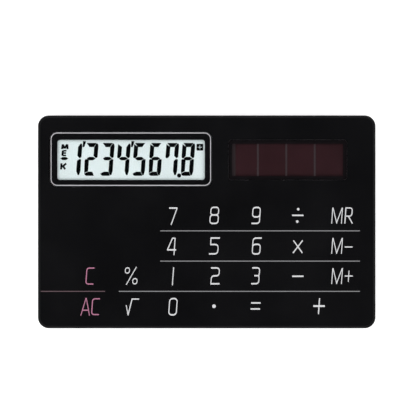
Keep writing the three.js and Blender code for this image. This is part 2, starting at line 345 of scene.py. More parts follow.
def moulded_black():
    """ABS from a spark-eroded mould: a fine grain, and a broad unevenness from handling."""
    material = new_material("moulded_black")
    tree = material.node_tree
    grain = object_noise(tree, 7000, detail=4, roughness=0.65)
    handling = object_noise(tree, 90, detail=4)
    shader = principled(tree, Specular_IOR_Level=0.15)
    colour = shades(tree, grain, (0.0022, 0.0022, 0.0026), (0.0036, 0.0036, 0.0041))
    tree.links.new(colour, shader.inputs["Base Color"])
    tree.links.new(spread(tree, handling, 0.34, 0.46), shader.inputs["Roughness"])
    tree.links.new(bump(tree, grain, 0.008 * MM, 0.5), shader.inputs["Normal"])
    return material


def ink(name, colour):
    """Screen-printed ink: matt, with the faint mottle of its mesh."""
    return grained(name, tint(colour, 0.93), tint(colour, 1.05), 4200, (0.5, 0.62), 0.002 * MM)


def edge_gloss(tree, head_on):
    """How much a polished sheet reflects: head_on when faced, rising to all of it at a slant."""
    slant = tree.nodes.new("ShaderNodeLayerWeight")
    steepness = tree.nodes.new("ShaderNodeMath")
    steepness.operation = "POWER"
    steepness.inputs[1].default_value = 5.0
    tree.links.new(slant.outputs["Facing"], steepness.inputs[0])
    return spread(tree, steepness.outputs["Value"], head_on, 1.0, 0.0, 1.0)


def clear_sheet(name, tone, head_on):
    """A thin polished clear sheet: it lets light through by tone and reflects by its angle."""
    material = new_material(name)
    tree = material.node_tree
    haze = object_noise(tree, 130, detail=3)
    through = node(tree, "ShaderNodeBsdfTransparent", Color=(*tone, 1))
    shine = tree.nodes.new("ShaderNodeBsdfGlossy")
    both = tree.nodes.new("ShaderNodeMixShader")
    output = next(item for item in tree.nodes if item.type == "OUTPUT_MATERIAL")
    tree.links.new(spread(tree, haze, 0.04, 0.10), shine.inputs["Roughness"])
    tree.links.new(edge_gloss(tree, head_on), both.inputs["Fac"])
    tree.links.new(through.outputs["BSDF"], both.inputs[1])
    tree.links.new(shine.outputs["BSDF"], both.inputs[2])
    tree.links.new(both.outputs["Shader"], output.inputs["Surface"])
    return material


def polariser(name, tone):
    """A matt polarising film laminated on its glass: it takes some light and mirrors none."""
    material = new_material(name)
    tree = material.node_tree
    haze = object_noise(tree, 130, detail=3)
    through = tree.nodes.new("ShaderNodeBsdfTransparent")
    output = next(item for item in tree.nodes if item.type == "OUTPUT_MATERIAL")
    tree.links.new(shades(tree, haze, tint(tone, 0.985), tone), through.inputs["Color"])
    tree.links.new(through.outputs["BSDF"], output.inputs["Surface"])
    return material


def display_ground():
    """The reflector behind the liquid crystal: pale grey green, with a fine metallic grain."""
    return grained(
        "display_ground", (0.68, 0.75, 0.74), (0.73, 0.79, 0.785), 5200, (0.5, 0.7), 0.001 * MM
    )


def crystal_dark():
    """A switched-on segment: nearly black, faintly blue."""
    return dull("crystal_dark", (0.0012, 0.0018, 0.0022), (0.0022, 0.0030, 0.0034), 3000)


def silicon():
    """Amorphous silicon: deep maroon, clouded where the layer is thicker."""
    material = new_material("silicon")
    tree = material.node_tree
    cloud = object_noise(tree, 85, detail=4)
    grain = object_noise(tree, 2600, detail=2)
    shader = principled(tree)
    colour = shades(tree, cloud, (0.0277, 0.0115, 0.0137), (0.0373, 0.0155, 0.0187))
    tree.links.new(colour, shader.inputs["Base Color"])
    tree.links.new(spread(tree, grain, 0.16, 0.26), shader.inputs["Roughness"])
    tree.links.new(bump(tree, grain, 0.001 * MM, 0.4), shader.inputs["Normal"])
    return material


FILM = film_black()
BORDER = border_black("border_black")
SMOKED_BORDER = border_black("smoked_border_black", 2.0)  # seen through the darker window
CASE = moulded_black()
CAP = grained("cap_plastic", (0.010, 0.010, 0.011), (0.016, 0.016, 0.017), 3000, (0.45, 0.6), 0.004 * MM)
LEGEND_INK = ink("legend_ink", (0.50, 0.50, 0.51))
CLEAR_INK = ink("clear_key_ink", (0.32, 0.113, 0.190))
LINE_INK = ink("line_ink", (0.155, 0.155, 0.160))
CLEAR_LINE_INK = ink("clear_line_ink", (0.062, 0.031, 0.039))
RING_INK = ink("ring_ink", (0.47, 0.45, 0.47))
DISPLAY_CLEAR = clear_sheet("display_clear", (0.988, 0.993, 0.995), 0.022)
SOLAR_CLEAR = clear_sheet("solar_clear", (0.90, 0.86, 0.87), 0.035)
POLARISER = polariser("polariser", (0.988, 0.993, 0.995))
GROUND = display_ground()
CRYSTAL = crystal_dark()
SILICON = silicon()
DOME_FILM = grained(
    "dome_film", (0.62, 0.66, 0.64), (0.70, 0.74, 0.72), 1800, (0.3, 0.45), 0.003 * MM
)
END_STRIP = grained("end_strip", (0.015, 0.012, 0.013), (0.020, 0.016, 0.017), 2600, (0.3, 0.45), 0.0)
ELECTRODE = grained("electrode", (0.030, 0.028, 0.030), (0.040, 0.038, 0.040), 2600, (0.3, 0.45), 0.0)
SCREW_STEEL = grained(
    "screw_steel", (0.22, 0.22, 0.225), (0.34, 0.34, 0.345), 2400, (0.28, 0.45), 0.002 * MM, 1.0
)

# ---------------------------------------------------------------- casing

CLEARANCE = 0.1 * MM
FILM_GAP = 0.02 * MM  # left between the film and what it meets
RIM = rectangle("face_film")[0] - CASE_LOW.x - CLEARANCE  # width of the frame's top edge
LEDGE = 1.4 * MM  # width of the frame below its top edge
SCREW_NODES = [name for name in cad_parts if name.startswith("rear_screw_")]
SCREW_BORE = 0.75 * MM  # radius of the hole that each screw turns into
SCREW_SINK = 1.3 * MM  # radius of the rear cover's sink at its face
SCREW_BOSS = 1.35 * MM  # radius of the frame's boss round each screw


def screw_centres():
    centres = []
    for name in SCREW_NODES:
        low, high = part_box(name)
        centres.append(((low.x + high.x) / 2, (low.y + high.y) / 2))
    return centres


def card_outlines(profile):
    """The card's outline at each (inset, z) of a profile."""
    return [
        at_height(rounded(grown(CARD, -inset), CARD_CORNER - inset, 14), z)
        for inset, z in profile
    ]


def make_side_frame():
    """The ring that forms the card's edge and the raised rim around the film."""
    plate_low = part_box("front_plate")[0].z
    round_over = 0.15 * MM
    soft = 0.06 * MM
    seam_edge = 0.12 * MM
    top = CASE_HIGH.z
    profile = [
        (seam_edge, SEAM),
        (0, SEAM + seam_edge),
        *arc(round_over, top - round_over, round_over, 180, 90, 6),
        *arc(RIM - soft, top - soft, soft, 90, 0, 3),
        (RIM, plate_low),
        (LEDGE, plate_low),
        (LEDGE, SEAM),
    ]
    bm = bmesh.new()
    add_loft(bm, card_outlines(profile), closed=True)
    for x, y in screw_centres():
        levels = [
            (SCREW_BOSS, LIP_TOP),
            (SCREW_BOSS, plate_low),
            (SCREW_BORE, plate_low),
            (SCREW_BORE, LIP_TOP),
        ]
        add_loft(bm, [at_height(circle(x, y, radius), z) for radius, z in levels], closed=True)
    piece = link("side_frame_shell", bm, CASE)
    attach(piece, "case")
    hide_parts("side_frame")


def make_rear_cover():
    """The tray that closes the back: a rounded lower edge, a locating lip and four screw sinks."""
    bottom = CASE_LOW.z
    round_under = 0.3 * MM
    seam_edge = 0.08 * MM
    lip_out = LEDGE + CLEARANCE
    lip_width = 0.7 * MM
    lip_in = lip_out + lip_width
    profile = [
        *arc(round_under, bottom + round_under, round_under, 270, 180, 6),
        (0, SEAM - seam_edge),
        (seam_edge, SEAM),
        (lip_out, SEAM),
        (lip_out, LIP_TOP),
        (lip_in, LIP_TOP),
        (lip_in, SEAM),
    ]
    bm = bmesh.new()
    outlines = card_outlines(profile)
    add_loft(bm, outlines, capped=False)
    sinks = [circle(x, y, SCREW_SINK) for x, y in screw_centres()]
    bores = [circle(x, y, SCREW_BORE) for x, y in screw_centres()]
    add_fill(bm, [point[:2] for point in outlines[0]], sinks, bottom)
    add_fill(bm, [point[:2] for point in outlines[-1]], [], SEAM)
    for sink, bore in zip(sinks, bores):
        add_loft(bm, [at_height(sink, bottom), at_height(bore, SEAM - seam_edge)], capped=False)
        add_fill(bm, bore, [], SEAM - seam_edge)
    piece = link("rear_cover_shell", bm, CASE)
    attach(piece, "case")
    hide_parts("rear_cover")


def star(x, y, reach, waist, steps=32):
    """Outline of a cross recess with four rounded arms."""
    points = []
    for step in range(steps):
        angle = math.tau * step / steps
        radius = waist + (reach - waist) * abs(math.cos(2 * angle)) ** 3
        points.append((x + radius * math.cos(angle), y + radius * math.sin(angle)))
    return points


def make_screws():
    """Four countersunk screws with a rounded rim and a cross recess."""
    head, shank = millimetres(1.2, 0.65)
    rim_inset, rim_height, head_height, tip = millimetres(0.06, 0.05, 0.5, 0.3)
    # The recess as (reach, waist, depth): its root, and its mouth just under the head's face.
    root, mouth = millimetres(0.28, 0.12, 0.28), millimetres(0.72, 0.2, 0.02)
    for name, (x, y) in zip(SCREW_NODES, screw_centres()):
        low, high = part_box(name)
        recess = [
            at_height(star(x, y, reach, waist), low.z + depth) for reach, waist, depth in (root, mouth)
        ]
        body = [
            (head - rim_inset, low.z),
            (head, low.z + rim_height),
            (shank, low.z + head_height),
            (shank, high.z - tip),
            (shank / 2, high.z),
        ]
        outlines = recess + [at_height(circle(x, y, radius), z) for radius, z in body]
        bm = bmesh.new()
        add_loft(bm, outlines)
        piece = link(f"{name}_turned", bm, SCREW_STEEL, sharp_angle=30)
        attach(piece, "case")
        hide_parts(name)


# ---------------------------------------------------------------- film and keys


def key_hole(name):
    """The opening in the film and the plate for a key, as (left, bottom, right, top)."""
    return rectangle(name, -KEY_OVERHANG)


def key_centre(name):
    left, bottom, right, top = key_hole(name)
    return (left + right) / 2, (bottom + top) / 2


def make_film():
    """The printed face, with an opening for each key's own patch and for the two windows."""
    holes = [rounded(key_hole(name), KEY_CORNER) for name in KEY_NODES]
    for window, corner in (("display_window", DISPLAY_CORNER), ("solar_window", SOLAR_CORNER)):
        holes.append(rounded(rectangle(window, FILM_GAP), corner + FILM_GAP))
    reach = CLEARANCE - FILM_GAP
    outer = rounded(rectangle("face_film", reach), CARD_CORNER - RIM - FILM_GAP, 14)
    piece = sheet_with_holes("face_film_printed", outer, holes, FILM_LOW, FACE, FILM)
    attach(piece, "case")
    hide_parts("face_film")


def smoothed(share):
    return share * share * (3 - 2 * share)


def make_key_face(name):
    """One key's patch of film, drawn at rest in rings from its hole's edge in to the keycap's head."""
    rows = 8
    hole = key_hole(name)
    outlines, weights = [], []
    for z, order in ((FILM_LOW, range(rows, -1, -1)), (FACE, range(rows + 1))):
        for row in order:
            share = row / rows
            radius = KEY_CORNER + (HEAD_CORNER - KEY_CORNER) * share
            outline = rounded(grown(hole, -FLEX_WIDTH * share), radius)
            outlines.append(at_height(outline, z))
            weights += [smoothed(share)] * len(outline)
    bm = bmesh.new()
    add_loft(bm, outlines)
    piece = link(f"{name}_face", bm, FILM)
    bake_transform(piece)


def make_keycap(name):
    """The moulded cap under the film: a head, a wider flange and the nub that meets the dome."""
    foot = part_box(name)[0].z
    x, y = key_centre(name)
    flange_low, flange_high = millimetres(2.35, 2.6)
    nub = 1.6 * MM
    soft = 0.05 * MM
    head = grown(key_hole(name), -FLEX_WIDTH)
    bm = bmesh.new()
    add_loft(bm, bevelled_outlines(rectangle(name), KEY_CORNER, flange_low, flange_high, soft))
    add_loft(bm, bevelled_outlines(head, HEAD_CORNER, flange_high - soft, FILM_LOW, soft))
    add_loft(bm, [at_height(circle(x, y, nub), z) for z in (foot, flange_low + soft)])
    piece = link(f"{name}_cap", bm, CAP)
    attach(piece, name)
    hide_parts(name)


DOME_RADIUS = 2.6 * MM
DOME_CROWN = 1.0 * MM
DOME_STEP = millimetres(-14.2, -9.95)  # where the sheet's left part ends, short of the display
DOME_FILM_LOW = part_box("dome_sheet")[0].z
DOME_FILM_HIGH = DOME_FILM_LOW + 0.09 * MM
DOME_WALL = 0.08 * MM
DOME_CLEARANCE = 0.01 * MM  # left between a dome and its keycap
DOME_RINGS = 4


def make_dome_sheet():
    """The L-shaped film over the board, open where each dome stands."""
    left, bottom, right, top = rectangle("dome_sheet")
    step_x, step_y = DOME_STEP
    outer = [
        (left, bottom), (right, bottom), (right, top),
        (step_x, top), (step_x, step_y), (left, step_y),
    ]
    holes = [circle(*key_centre(name), DOME_RADIUS) for name in KEY_NODES]
    piece = sheet_with_holes(
        "dome_film_sheet", outer, holes, DOME_FILM_LOW, DOME_FILM_HIGH, DOME_FILM
    )
    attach(piece, "case")
    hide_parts("dome_sheet")


def make_dome(name):
    """The dome under a key, drawn at rest in rings from its crown out to its foot; a real one goes flat
    when pressed.
    """
    x, y = key_centre(name)
    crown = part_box("dome_sheet")[1].z - DOME_CLEARANCE
    outlines, weights = [], []
    outward, inward = range(DOME_RINGS + 1), range(DOME_RINGS, -1, -1)
    for depth, order in ((DOME_WALL, outward), (0, inward)):
        for ring in order:
            share = ring / DOME_RINGS
            outline = circle(x, y, DOME_CROWN + (DOME_RADIUS - DOME_CROWN) * share)
            z = crown + (DOME_FILM_HIGH - crown) * share - depth
            outlines.append(at_height(outline, z))
            weights += [1 - share] * len(outline)
    bm = bmesh.new()
    add_loft(bm, outlines)
    piece = link(f"{name}_dome", bm, DOME_FILM)
    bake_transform(piece)


# ---------------------------------------------------------------- printed legends and lines

INK_DEPTH = 0.012 * MM
INK_STEP = 0.002 * MM  # between crossing strokes, so that they don't share a surface
# The legends are drawn with an upright oval pen: its width is that of an upright stroke.
PENS = {
    "line": Vector((0.24, 0.37)) * MM,
    "fine": Vector((0.205, 0.28)) * MM,
    "even": Vector((0.25, 0.29)) * MM,
    "bold": Vector((0.29, 0.46)) * MM,
}
SLANT = 0.07  # how far a legend leans to the right for each unit of its height


def eased(path, steps=6):
    """A path of (x, y) or (x, y, ease) points, with each corner that has an ease rounded off."""
    points = [Vector(path[0][:2])]
    for before, corner, after in zip(path, path[1:], path[2:]):
        turn = Vector(corner[:2])
        ease = corner[2] if len(corner) > 2 else 0
        if not ease:
            points.append(turn)
            continue
        start = turn + (Vector(before[:2]) - turn).normalized() * ease
        end = turn + (Vector(after[:2]) - turn).normalized() * ease
        for step in range(steps + 1):
            share = step / steps
            points.append(start.lerp(turn, share).lerp(turn.lerp(end, share), share))
    points.append(Vector(path[-1][:2]))
    return points


def round_pen(width):
    return Vector((width, width))


def add_stroke(bm, points, pen, low, high, closed=False):
    """A flat band along a path, drawn with a pen of this width and height."""
    count = len(points)
    sections = []
    for i, point in enumerate(points):
        before = points[i - 1] if closed or i > 0 else point
        after = points[(i + 1) % count] if closed or i < count - 1 else point
        ways = [way.normalized() for way in (point - before, after - point) if way.length > 0]
        along = (ways[0] + ways[-1]).normalized()
        reach = 0.5 / max(along.dot(ways[0]), 0.6)  # a sharp turn gets a blunt outer corner
        side = Vector((-along.y * pen.x, along.x * pen.y)) * reach
        left, right = point + side, point - side
        sections.append([(*left, low), (*right, low), (*right, high), (*left, high)])
    add_loft(bm, sections, closed=closed)


def add_disc(bm, x, y, radius, low, high):
    outline = circle(x, y, radius, 24)
    add_loft(bm, [at_height(outline, low), at_height(outline, high)])


def box_path(left, bottom, right, top, radius):
    return rounded((left, bottom, right, top), radius, 5)


def memory_m(x=-1.77):
    """The M of the memory keys, as four separate strokes."""
    middle, right = x + 1.24, x + 2.47
    return [
        ("fine", [(x, -1.98), (x, 2.05)]),
        ("fine", [(right, -1.98), (right, 2.05)]),
        ("fine", [(x + 0.06, 2.05), (middle + 0.06, -1.95)]),
        ("fine", [(right - 0.06, 2.05), (middle - 0.06, -1.95)]),
    ]


# Each key's legend in millimetres from the middle of its key, standing upright. Every stroke has
# the name of its pen, and "loop" after it where its path is closed. A disc is (x, y, radius).
LEGENDS = {
    "key_0": [("line loop", box_path(-0.9, -2.13, 1.0, 2.0, 0.75))],
    "key_1": [("line", [(0.05, -2.3), (0.05, 2.28)])],
    "key_2": [
        ("line", [
            (-1.0, 2.1), (1.16, 2.1, 0.8), (1.16, 0.1, 0.8), (-0.76, 0.1, 0.8),
            (-0.76, -1.92), (1.42, -1.92),
        ]),
    ],
    "key_3": [
        ("line", [
            (-1.1, 2.12), (0.8, 2.12, 0.7), (0.8, 0.65, 0.3), (0.66, 0.14, 0.2),
            (0.8, -0.35, 0.3), (0.8, -1.9, 0.8), (-1.1, -1.9),
        ]),
        ("line", [(-0.45, 0.14), (0.7, 0.14)]),
    ],
    "key_4": [
        ("line", [(0.45, -2.3), (0.45, 2.1)]),
        ("even", [(0.43, 1.98), (-0.2, 1.98), (-1.3, -0.95)]),
        ("line", [(-1.38, -0.98), (0.9, -0.98)]),
    ],
    "key_5": [
        ("line", [
            (1.25, 2.02), (-0.98, 2.02), (-0.98, 0.38), (0.97, 0.38, 0.9), (0.97, -2.0, 0.9),
            (-1.24, -2.0),
        ]),
    ],
    "key_6": [
        ("line", [(1.3, 2.0), (-0.84, 2.0, 0.8), (-0.84, -1.0)]),
        ("line loop", box_path(-0.84, -2.02, 1.08, 0.42, 0.65)),
    ],
    "key_7": [("line", [(-1.08, 1.95), (1.0, 1.95)]), ("even", [(0.98, 2.0), (-0.27, -2.3)])],
    "key_8": [
        ("line loop", box_path(-0.98, 0.2, 0.98, 2.13, 0.65)),
        ("line loop", box_path(-1.05, -1.95, 1.03, 0.2, 0.68)),
    ],
    "key_9": [
        ("line loop", box_path(-0.88, -0.3, 0.98, 2.1, 0.65)),
        ("line", [(0.98, 1.0), (0.98, -1.95, 0.8), (-1.0, -1.95)]),
    ],
    "key_point": [("disc", (-0.1, 0.05, 0.46))],
    "key_equals": [("line", [(-1.3, 0.9), (1.1, 0.9)]), ("line", [(-1.33, -0.63), (1.05, -0.63)])],
    "key_plus": [("bold", [(-1.3, 0.1), (1.62, 0.1)]), ("bold", [(0.15, 2.12), (0.15, -1.95)])],
    "key_minus": [("line", [(-1.38, -0.01), (1.5, -0.01)])],
    "key_multiply": [
        ("line", [(-1.17, 1.42), (1.33, -1.76)]),
        ("line", [(1.19, 1.42), (-1.04, -1.78)]),
    ],
    "key_divide": [
        ("line", [(-1.4, 0.1), (1.48, 0.1)]),
        ("disc", (0.05, 1.65, 0.33)),
        ("disc", (0.02, -1.47, 0.33)),
    ],
    "key_percent": [
        ("fine loop", box_path(-1.60, 0.8, -0.52, 2.12, 0.5)),
        ("fine loop", box_path(0.48, -1.93, 1.56, -0.6, 0.5)),
        ("fine", [(1.17, 2.35), (-1.12, -2.18)]),
    ],
    "key_square_root": [
        ("fine", [(-1.3, 0.35), (-0.64, -2.2)]),
        ("even", [(-0.68, -2.25), (0.1, 1.88), (1.88, 1.88)]),
    ],
    "key_clear": [("even", [(1.08, 2.07), (-0.82, 2.07, 0.7), (-0.82, -1.97, 0.7), (1.08, -1.97)])],
    "key_all_clear": [
        ("fine", [(-2.08, -2.3), (-1.05, 2.15)]),
        ("fine", [(-0.99, 2.15), (0.13, -2.3)]),
        ("fine", [(-1.75, -0.95), (-0.2, -0.95)]),
        ("even", [(2.48, 1.95), (0.64, 1.95, 0.7), (0.64, -2.05, 0.7), (2.48, -2.05)]),
    ],
    "key_memory_recall": [
        *memory_m(),
        ("even", [(1.57, -1.98), (1.57, 1.98), (3.2, 1.98, 0.7), (3.2, -0.1, 0.7), (1.57, -0.1)]),
        ("even", [(2.35, -0.15), (3.5, -1.98)]),
    ],
    "key_memory_minus": [*memory_m(), ("fine", [(1.42, -0.25), (3.4, -0.25)])],
    "key_memory_plus": [
        *memory_m(),
        ("fine", [(1.4, 0.05), (3.42, 0.05)]),
        ("fine", [(2.4, 1.45), (2.4, -1.4)]),
    ],
}
CLEAR_KEYS = ("key_clear", "key_all_clear")


def leaning(point, x, y):
    """A legend's point in the frame: moved to its key, scaled to metres and slanted."""
    return Vector((x + (point[0] + SLANT * point[1]) * MM, y + point[1] * MM))


def make_legend(name):
    x, y = key_centre(name)
    bm = bmesh.new()
    for order, (kind, drawn) in enumerate(LEGENDS[name]):
        low = FACE - INK_DEPTH
        high = FACE + INK_DEPTH + order * INK_STEP
        if kind == "disc":
            centre = leaning(drawn, x, y)
            add_disc(bm, centre.x, centre.y, drawn[2] * MM, low, high)
            continue
        closed = kind.endswith("loop")
        pen = PENS[kind.split()[0]]
        path = [Vector(point) for point in drawn] if closed else eased(drawn)
        points = [leaning(point, x, y) for point in path]
        add_stroke(bm, points, pen, low, high, closed)
    piece = link(f"{name}_legend", bm, CLEAR_INK if name in CLEAR_KEYS else LEGEND_INK)
    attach(piece, name)


LINE_WIDTH = 0.23 * MM
LINE_LEFT = -11.8 * MM
LINE_RIGHT = 38.85 * MM
LOWER_LINE_LEFT = -22.3 * MM
CLEAR_LINE_RIGHT = -25.8 * MM


def between_rows(upper, lower):
    """Height of the line printed between two rows of keys."""
    return (key_hole(upper)[1] + key_hole(lower)[3]) / 2


def make_row_lines():
    upper = between_rows("key_7", "key_4")
    middle = between_rows("key_4", "key_1")
    bottom = between_rows("key_1", "key_0")
    rows = [
        ("line_upper", LINE_LEFT, LINE_RIGHT, upper, LINE_INK),
        ("line_middle", LINE_LEFT, LINE_RIGHT, middle, LINE_INK),
        ("line_lower", LOWER_LINE_LEFT, LINE_RIGHT, bottom, LINE_INK),
        ("line_clear_keys", CASE_LOW.x + RIM + CLEARANCE, CLEAR_LINE_RIGHT, bottom, CLEAR_LINE_INK),
    ]
    for name, left, right, y, material in rows:
        bm = bmesh.new()
        ends = [Vector((left, y)), Vector((right, y))]
        add_stroke(bm, ends, round_pen(LINE_WIDTH), FACE - INK_DEPTH, FACE + INK_DEPTH)
        piece = link(f"printed_{name}", bm, material)
        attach(piece, "case")


# ---------------------------------------------------------------- display

DISPLAY_SIGHT = millimetres(-37.9, 10.66, -0.48, 20.8)  # what its printed border leaves clear
SIGHT_CORNER = 0.65 * MM
RING_INSETS = millimetres(0.36, 0.3)  # of the ring from the window's edge, along X and Y
RING_PEN = Vector((0.19, 0.24)) * MM
# Each print under a window, from its low side to its high one, and the window over them.
BORDER_LEVELS = (PLATE_TOP + 0.004 * MM, PLATE_TOP + 0.022 * MM)
RING_LEVELS = (PLATE_TOP + 0.018 * MM, PLATE_TOP + 0.034 * MM)
WINDOW_UNDER = PLATE_TOP + 0.04 * MM
BORDER_INSET = 0.02 * MM
WINDOW_BEVEL = 0.01 * MM
GLASS_CORNER = 0.3 * MM
GLASS_BEVEL = 0.05 * MM
GLASS_LIFT = 0.3 * MM  # the figures lie as high as they look through the glass over them
CRYSTAL_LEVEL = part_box("display_front_glass")[0].z + GLASS_LIFT
PANE_GAP = 0.03 * MM  # from the foot of the figures up to the pane over them
REFLECTOR_GAP = 0.01 * MM  # from the foot of the figures down to the reflector
FIGURE_DEPTH = 0.012 * MM

DIGIT_PITCH = 4.095
DIGIT_FOOT = 11.77
DIGIT_SLANT = 0.078
DIGIT_WAIST = 4.29  # height of the middle segment, about which the digits lean
LAST_DIGIT = -4.79
DARK_SPREAD = 0.085 * MM  # added all round each dark shape, so that it looks as bold as it should

# The seven segments of a digit in millimetres from its middle and its foot, standing upright.
SEGMENTS = {
    "a": [(-1.27, 8.18), (0.99, 8.18), (0.42, 7.3), (-0.58, 7.3)],
    "b": [(0.64, 5.0), (0.64, 7.2), (1.16, 8.02), (1.38, 8.02), (1.53, 7.5), (1.53, 4.7), (1.2, 4.48)],
    "c": [(0.64, 1.15), (0.64, 3.68), (1.1, 4.08), (1.5, 4.0), (1.55, 1.15), (1.3, 0.18), (1.05, 0.18)],
    "d": [(-1.35, 0.45), (-0.52, 0.88), (0.52, 0.88), (0.9, 0.0), (-0.86, -0.02), (-1.2, 0.18)],
    "e": [(-1.54, 3.85), (-1.32, 4.08), (-0.8, 4.02), (-0.61, 3.75), (-0.61, 1.12), (-1.4, 0.76)],
    "f": [(-1.54, 7.8), (-0.65, 7.2), (-0.65, 5.0), (-1.05, 4.48), (-1.42, 4.48), (-1.54, 4.7)],
    "g": [(-0.97, 4.28), (-0.5, 4.64), (0.52, 4.64), (1.02, 4.28), (0.48, 3.93), (-0.56, 3.93)],
}
DIGITS = ["bc", "abged", "abgcd", "fgbc", "afgcd", "afgecd", "fabc", "abcdefg"]


def ink_edges(lens):
    """Black ink on the cut edges of a window, so that they don't glint."""
    lens.data.materials.append(BORDER)
    for face in lens.data.polygons:
        if abs(face.normal.z) < 0.9:
            face.material_index = 1


def print_border(name, window, corner, sight, sight_corner, material):
    """The black border printed under a window, open where it is clear."""
    outer = rounded(grown(rectangle(window), -BORDER_INSET), corner)
    opening = rounded(sight, sight_corner)
    piece = sheet_with_holes(name, outer, [opening], *BORDER_LEVELS, material)
    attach(piece, "case")


def make_display_window():
    rect = rectangle("display_window")
    left, bottom, right, top = rect
    lens = bevelled_slab(
        "display_lens", rect, DISPLAY_CORNER, WINDOW_UNDER, FACE, WINDOW_BEVEL, DISPLAY_CLEAR
    )
    ink_edges(lens)
    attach(lens, "case")
    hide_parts("display_window")
    print_border(
        "display_border", "display_window", DISPLAY_CORNER, DISPLAY_SIGHT, SIGHT_CORNER, BORDER
    )

    bm = bmesh.new()
    along, across = RING_INSETS
    line_rect = (left + along, bottom + across, right - along, top - across)
    ring = rounded(line_rect, DISPLAY_CORNER - across, 12)
    points = [Vector(point) for point in ring]
    add_stroke(bm, points, RING_PEN, *RING_LEVELS, closed=True)
    line = link("display_ring", bm, RING_INK)
    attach(line, "case")


def make_display_stack():
    """The clear front pane, with the reflector behind the liquid crystal."""
    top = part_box("display_front_polariser")[1].z
    pane_low = CRYSTAL_LEVEL + PANE_GAP
    rect = rectangle("display_front_glass")
    pane = bevelled_slab(
        "display_pane", rect, GLASS_CORNER, pane_low, top, GLASS_BEVEL, POLARISER
    )
    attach(pane, "case")
    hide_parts("display_front_glass", "display_front_polariser")

    rear = rectangle("display_rear_glass")
    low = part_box("display_rear_polariser")[0].z
    high = CRYSTAL_LEVEL - REFLECTOR_GAP
    ground = bevelled_slab(
        "display_reflector", rear, GLASS_CORNER, low, high, GLASS_BEVEL, GROUND
    )
    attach(ground, "case")
    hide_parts("display_rear_glass", "display_rear_polariser")


def widened(points, by):
    """A clockwise outline with every side moved outwards by the same distance."""
    outline = []
    for i, point in enumerate(points):
        before = Vector(points[i - 1])
        after = Vector(points[(i + 1) % len(points)])
        way_in = (Vector(point) - before).normalized()
        way_out = (after - Vector(point)).normalized()
        outward = Vector((-way_in.y - way_out.y, way_in.x + way_out.x))
        outline.append(tuple(Vector(point) + outward * by / (1 + way_in.dot(way_out))))
    return outline


def add_polygon(bm, points, low, high):
    add_loft(bm, [at_height(points, low), at_height(points, high)])


def add_digit(bm, place, low, high):
    x = LAST_DIGIT - (len(DIGITS) - 1 - place) * DIGIT_PITCH
    for segment in DIGITS[place]:
        outline = [
            ((x + u + DIGIT_SLANT * (v - DIGIT_WAIST)) * MM, (DIGIT_FOOT + v) * MM)
            for u, v in SEGMENTS[segment]
        ]
        add_polygon(bm, widened(outline, DARK_SPREAD), low, high)


# The small indicators at the left of the display, as strokes of (width, points) in millimetres.
INDICATORS = [
    # memory in use
    (0.36, [(-36.76, 18.45), (-36.55, 19.7)]),
    (0.34, [(-36.52, 19.65), (-36.12, 18.62)]),
    (0.34, [(-36.12, 18.62), (-35.46, 19.65)]),
    (0.36, [(-35.36, 18.45), (-35.4, 19.7)]),
    # error
    (0.36, [(-36.66, 16.8), (-36.52, 18.1)]),
    (0.24, [(-36.5, 18.06), (-35.6, 18.06)]),
    (0.24, [(-36.55, 17.46), (-35.72, 17.46)]),
    (0.24, [(-36.64, 16.84), (-35.7, 16.84)]),
    # constant
    (0.36, [(-36.99, 13.3), (-36.88, 14.86)]),
    (0.34, [(-36.72, 13.93), (-35.7, 14.82)]),
    (0.34, [(-36.45, 14.15), (-35.97, 13.32)]),
]
MINUS_SIGN = [
    (-37.06, 16.07), (-36.6, 16.37), (-35.75, 16.37), (-35.3, 16.07), (-35.75, 15.77), (-36.6, 15.77)
]
TICK = [(-0.24, 20.4), (0.36, 20.4), (0.25, 19.95), (-0.05, 19.08), (-0.34, 19.08)]
TICK_PLACES = (-31.1, -18.81)
DECIMAL_POINT = (-7.01, 11.76, 0.54)
FIGURE_STEP = 0.001 * MM  # between crossing strokes, so that they don't share a surface

# The boxed sign at the right of the display: its middle and half its side in millimetres.
SIGN_CENTRE = (-1.73, 18.95)
SIGN_HALF = 0.86
SIGN_CORNER = 0.2 * MM
SIGN_BEVEL = 0.004 * MM
SIGN_PEN = 0.11 * MM
SIGN_STROKE_DEPTH = 0.006 * MM


def add_marks(bm, low, high):
    """The thousands ticks, the decimal point and the small indicators."""
    for x in TICK_PLACES:
        tick = [millimetres(x + u, y) for u, y in TICK]
        add_polygon(bm, widened(tick, DARK_SPREAD), low, high)
    minus = [millimetres(*point) for point in MINUS_SIGN]
    add_polygon(bm, widened(minus, DARK_SPREAD), low, high)
    add_disc(bm, *millimetres(*DECIMAL_POINT), low, high)
    for order, (width, path) in enumerate(INDICATORS):
        points = [Vector(millimetres(*point)) for point in path]
        pen = round_pen(width * MM + 2 * DARK_SPREAD)
        add_stroke(bm, points, pen, low, high + order % 4 * FIGURE_STEP)


def make_display_figures():
    low, high = CRYSTAL_LEVEL, CRYSTAL_LEVEL + FIGURE_DEPTH
    bm = bmesh.new()
    for place in range(len(DIGITS)):
        add_digit(bm, place, low, high)
    add_marks(bm, low, high)
    figures = link("display_figures", bm, CRYSTAL)
    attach(figures, "case")

    x, y = SIGN_CENTRE
    box = millimetres(x - SIGN_HALF, y - SIGN_HALF, x + SIGN_HALF, y + SIGN_HALF)
    sign = bevelled_slab(
        "display_sign_box", box, SIGN_CORNER, low, high, SIGN_BEVEL, CRYSTAL
    )
    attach(sign, "case")
    bm = bmesh.new()
    top = high + SIGN_STROKE_DEPTH
    for reach_x, reach_y, rise in ((0.52, 0, 0), (0, 0.5, FIGURE_STEP)):
        ends = [Vector(millimetres(x + side * reach_x, y + side * reach_y)) for side in (-1, 1)]
        add_stroke(bm, ends, round_pen(SIGN_PEN), high, top + rise)
    symbol = link("display_sign_symbol", bm, GROUND)
    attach(symbol, "case")


# ---------------------------------------------------------------- solar cell

